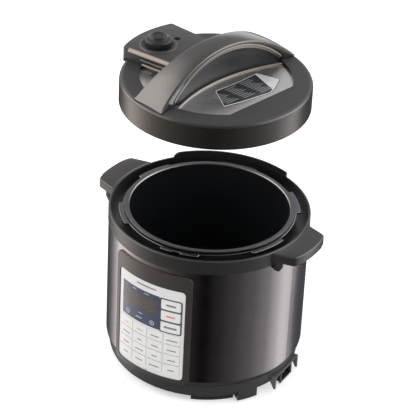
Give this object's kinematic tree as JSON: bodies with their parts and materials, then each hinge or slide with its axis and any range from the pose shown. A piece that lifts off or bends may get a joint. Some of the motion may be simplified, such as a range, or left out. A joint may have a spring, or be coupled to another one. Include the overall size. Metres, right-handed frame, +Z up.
{
  "type": "electric pressure cooker",
  "caption": "Electric pressure cooker with a round lacquered housing, curved key panel, lift-out inner pot and a twist-lock lid with arched handle and steam valve.",
  "frame": {"origin": "on the pot's axis, at the level of the table the feet stand on", "axes": "+Z up, -Y out of the front with the control panel, +X towards the right side handle and the power inlet"},
  "size_m": [0.3518, 0.3156, 0.516],
  "materials": {
    "shell_lacquer": "gloss dark bronze lacquer on steel",
    "ring_plastic": "satin, fine moulded grain",
    "base_plastic": "satin black",
    "cover_plastic": "matte charcoal",
    "handle_gloss": "gloss blue-black",
    "block_plastic": "satin charcoal",
    "champagne_trim": "metallised champagne",
    "lid_steel": "fine brushed",
    "pot_coating": "satin non-stick coating",
    "well_steel": "pressed, darkened",
    "heater_aluminium": "cast, machined top",
    "element_metal": "dull sheath",
    "sensor_metal": "spun",
    "spring_steel": "bright wire",
    "screw_metal": "bright",
    "rubber_black": "matte",
    "silicone_clear": "translucent white silicone",
    "bezel_plastic": "satin",
    "overlay_film": "silver-white film",
    "key_film": "silver-white film",
    "window_filter": "dark slate filter",
    "digit_module": "dim amber segments",
    "board_green": "solder mask",
    "switch_plastic": "ivory",
    "ceramic": "fibre sleeve",
    "socket_plastic": "black",
    "pin_brass": "plated",
    "knob_plastic": "satin black",
    "cup_plastic": "clear smoked plastic",
    "stainless": "polished stainless"
  },
  "bodies": {
    "housing": {"outer_shell": "shell_lacquer", "top_ring": "ring_plastic", "handle_right": "ring_plastic", "handle_left": "ring_plastic", "base_housing": "base_plastic", "bottom_cover": "base_plastic", "rubber_feet": "rubber_black", "base_screws": "screw_metal", "panel_bezel": "bezel_plastic", "panel_overlay": "overlay_film", "display_window": "window_filter", "display_digits": "digit_module", "control_board": "board_green", "tact_switches": "switch_plastic", "outer_pot": "well_steel", "heating_plate": "heater_aluminium", "heating_element": "element_metal", "sensor_spring": "spring_steel", "thermal_fuse": "ceramic", "pressure_switch": "base_plastic", "power_board": "board_green", "inlet_hood": "base_plastic", "power_inlet": "socket_plastic", "inlet_pins": "pin_brass", "cup_bracket": "base_plastic"},
    "pot": {"inner_pot": "pot_coating"},
    "sensor": {"temp_sensor": "sensor_metal"},
    "cup": {"condensate_cup": "cup_plastic"},
    "seal": {"sealing_ring": "silicone_clear", "gasket_frame": "stainless"},
    "lid": {"lid_metal": "lid_steel", "lid_cover": "cover_plastic", "lid_handle": "handle_gloss", "lid_trim": "champagne_trim", "valve_housing": "block_plastic", "vent_pipe": "stainless", "anti_block_shield": "stainless", "lid_screws": "screw_metal"},
    "valve_knob": {"steam_valve": "knob_plastic"},
    "float_pin": {"float_valve": "stainless", "float_gasket": "silicone_clear"},
    "start_key": {"key_start": "key_film"},
    "stop_key": {"key_stop": "key_film"},
    "delay_key": {"key_delay": "key_film"},
    "key_11_body": {"program_key_11": "key_film"},
    "key_12_body": {"program_key_12": "key_film"},
    "key_13_body": {"program_key_13": "key_film"},
    "key_14_body": {"program_key_14": "key_film"},
    "key_21_body": {"program_key_21": "key_film"},
    "key_22_body": {"program_key_22": "key_film"},
    "key_23_body": {"program_key_23": "key_film"},
    "key_24_body": {"program_key_24": "key_film"},
    "key_31_body": {"program_key_31": "key_film"},
    "key_32_body": {"program_key_32": "key_film"},
    "key_33_body": {"program_key_33": "key_film"},
    "key_34_body": {"program_key_34": "key_film"},
    "key_41_body": {"program_key_41": "key_film"},
    "key_42_body": {"program_key_42": "key_film"},
    "key_43_body": {"program_key_43": "key_film"},
    "key_44_body": {"program_key_44": "key_film"}
  },
  "joints": [
    {"name": "lid_lift", "type": "slide", "parent": "housing", "child": "seal", "axis": [0, 0, 1], "range_m": [-0.192, 0]},
    {"name": "lid_turn", "type": "hinge", "parent": "seal", "child": "lid", "pos_m": [0, 0, 0.45], "axis": [0, 0, 1], "range_deg": [-79, 0]},
    {"name": "valve_turn", "type": "hinge", "parent": "lid", "child": "valve_knob", "pos_m": [-0.09799, -0.00171, 0.48], "axis": [0, 0, 1], "range_deg": [-30, 0]},
    {"name": "float_rise", "type": "slide", "parent": "lid", "child": "float_pin", "axis": [0, 0, 1], "range_m": [0, 0.004]},
    {"name": "pot_lift", "type": "slide", "parent": "housing", "child": "pot", "axis": [0, 0, 1], "range_m": [0, 0.16]},
    {"name": "sensor_press", "type": "slide", "parent": "housing", "child": "sensor", "axis": [0, 0, 1], "range_m": [-0.0028, 0], "stiffness_N_per_m": 600, "springref_m": 0.002, "deforming": ["sensor_spring"]},
    {"name": "cup_pull", "type": "slide", "parent": "housing", "child": "cup", "axis": [-0.342, 0.9397, 0], "range_m": [0, 0.06]},
    {"name": "start_press", "type": "slide", "parent": "housing", "child": "start_key", "axis": [-0.247, 0.969, 0], "range_m": [0, 0.0005], "stiffness_N_per_m": 400},
    {"name": "stop_press", "type": "slide", "parent": "housing", "child": "stop_key", "axis": [-0.247, 0.969, 0], "range_m": [0, 0.0005], "stiffness_N_per_m": 400},
    {"name": "delay_press", "type": "slide", "parent": "housing", "child": "delay_key", "axis": [-0.247, 0.969, 0], "range_m": [0, 0.0005], "stiffness_N_per_m": 400},
    {"name": "program_press_11", "type": "slide", "parent": "housing", "child": "key_11_body", "axis": [0.2689, 0.9632, 0], "range_m": [0, 0.0005], "stiffness_N_per_m": 400},
    {"name": "program_press_12", "type": "slide", "parent": "housing", "child": "key_12_body", "axis": [0.0906, 0.9959, 0], "range_m": [0, 0.0005], "stiffness_N_per_m": 400},
    {"name": "program_press_13", "type": "slide", "parent": "housing", "child": "key_13_body", "axis": [-0.0906, 0.9959, 0], "range_m": [0, 0.0005], "stiffness_N_per_m": 400},
    {"name": "program_press_14", "type": "slide", "parent": "housing", "child": "key_14_body", "axis": [-0.2689, 0.9632, 0], "range_m": [0, 0.0005], "stiffness_N_per_m": 400},
    {"name": "program_press_21", "type": "slide", "parent": "housing", "child": "key_21_body", "axis": [0.2689, 0.9632, 0], "range_m": [0, 0.0005], "stiffness_N_per_m": 400},
    {"name": "program_press_22", "type": "slide", "parent": "housing", "child": "key_22_body", "axis": [0.0906, 0.9959, 0], "range_m": [0, 0.0005], "stiffness_N_per_m": 400},
    {"name": "program_press_23", "type": "slide", "parent": "housing", "child": "key_23_body", "axis": [-0.0906, 0.9959, 0], "range_m": [0, 0.0005], "stiffness_N_per_m": 400},
    {"name": "program_press_24", "type": "slide", "parent": "housing", "child": "key_24_body", "axis": [-0.2689, 0.9632, 0], "range_m": [0, 0.0005], "stiffness_N_per_m": 400},
    {"name": "program_press_31", "type": "slide", "parent": "housing", "child": "key_31_body", "axis": [0.2689, 0.9632, 0], "range_m": [0, 0.0005], "stiffness_N_per_m": 400},
    {"name": "program_press_32", "type": "slide", "parent": "housing", "child": "key_32_body", "axis": [0.0906, 0.9959, 0], "range_m": [0, 0.0005], "stiffness_N_per_m": 400},
    {"name": "program_press_33", "type": "slide", "parent": "housing", "child": "key_33_body", "axis": [-0.0906, 0.9959, 0], "range_m": [0, 0.0005], "stiffness_N_per_m": 400},
    {"name": "program_press_34", "type": "slide", "parent": "housing", "child": "key_34_body", "axis": [-0.2689, 0.9632, 0], "range_m": [0, 0.0005], "stiffness_N_per_m": 400},
    {"name": "program_press_41", "type": "slide", "parent": "housing", "child": "key_41_body", "axis": [0.2689, 0.9632, 0], "range_m": [0, 0.0005], "stiffness_N_per_m": 400},
    {"name": "program_press_42", "type": "slide", "parent": "housing", "child": "key_42_body", "axis": [0.0906, 0.9959, 0], "range_m": [0, 0.0005], "stiffness_N_per_m": 400},
    {"name": "program_press_43", "type": "slide", "parent": "housing", "child": "key_43_body", "axis": [-0.0906, 0.9959, 0], "range_m": [0, 0.0005], "stiffness_N_per_m": 400},
    {"name": "program_press_44", "type": "slide", "parent": "housing", "child": "key_44_body", "axis": [-0.2689, 0.9632, 0], "range_m": [0, 0.0005], "stiffness_N_per_m": 400}
  ]
}
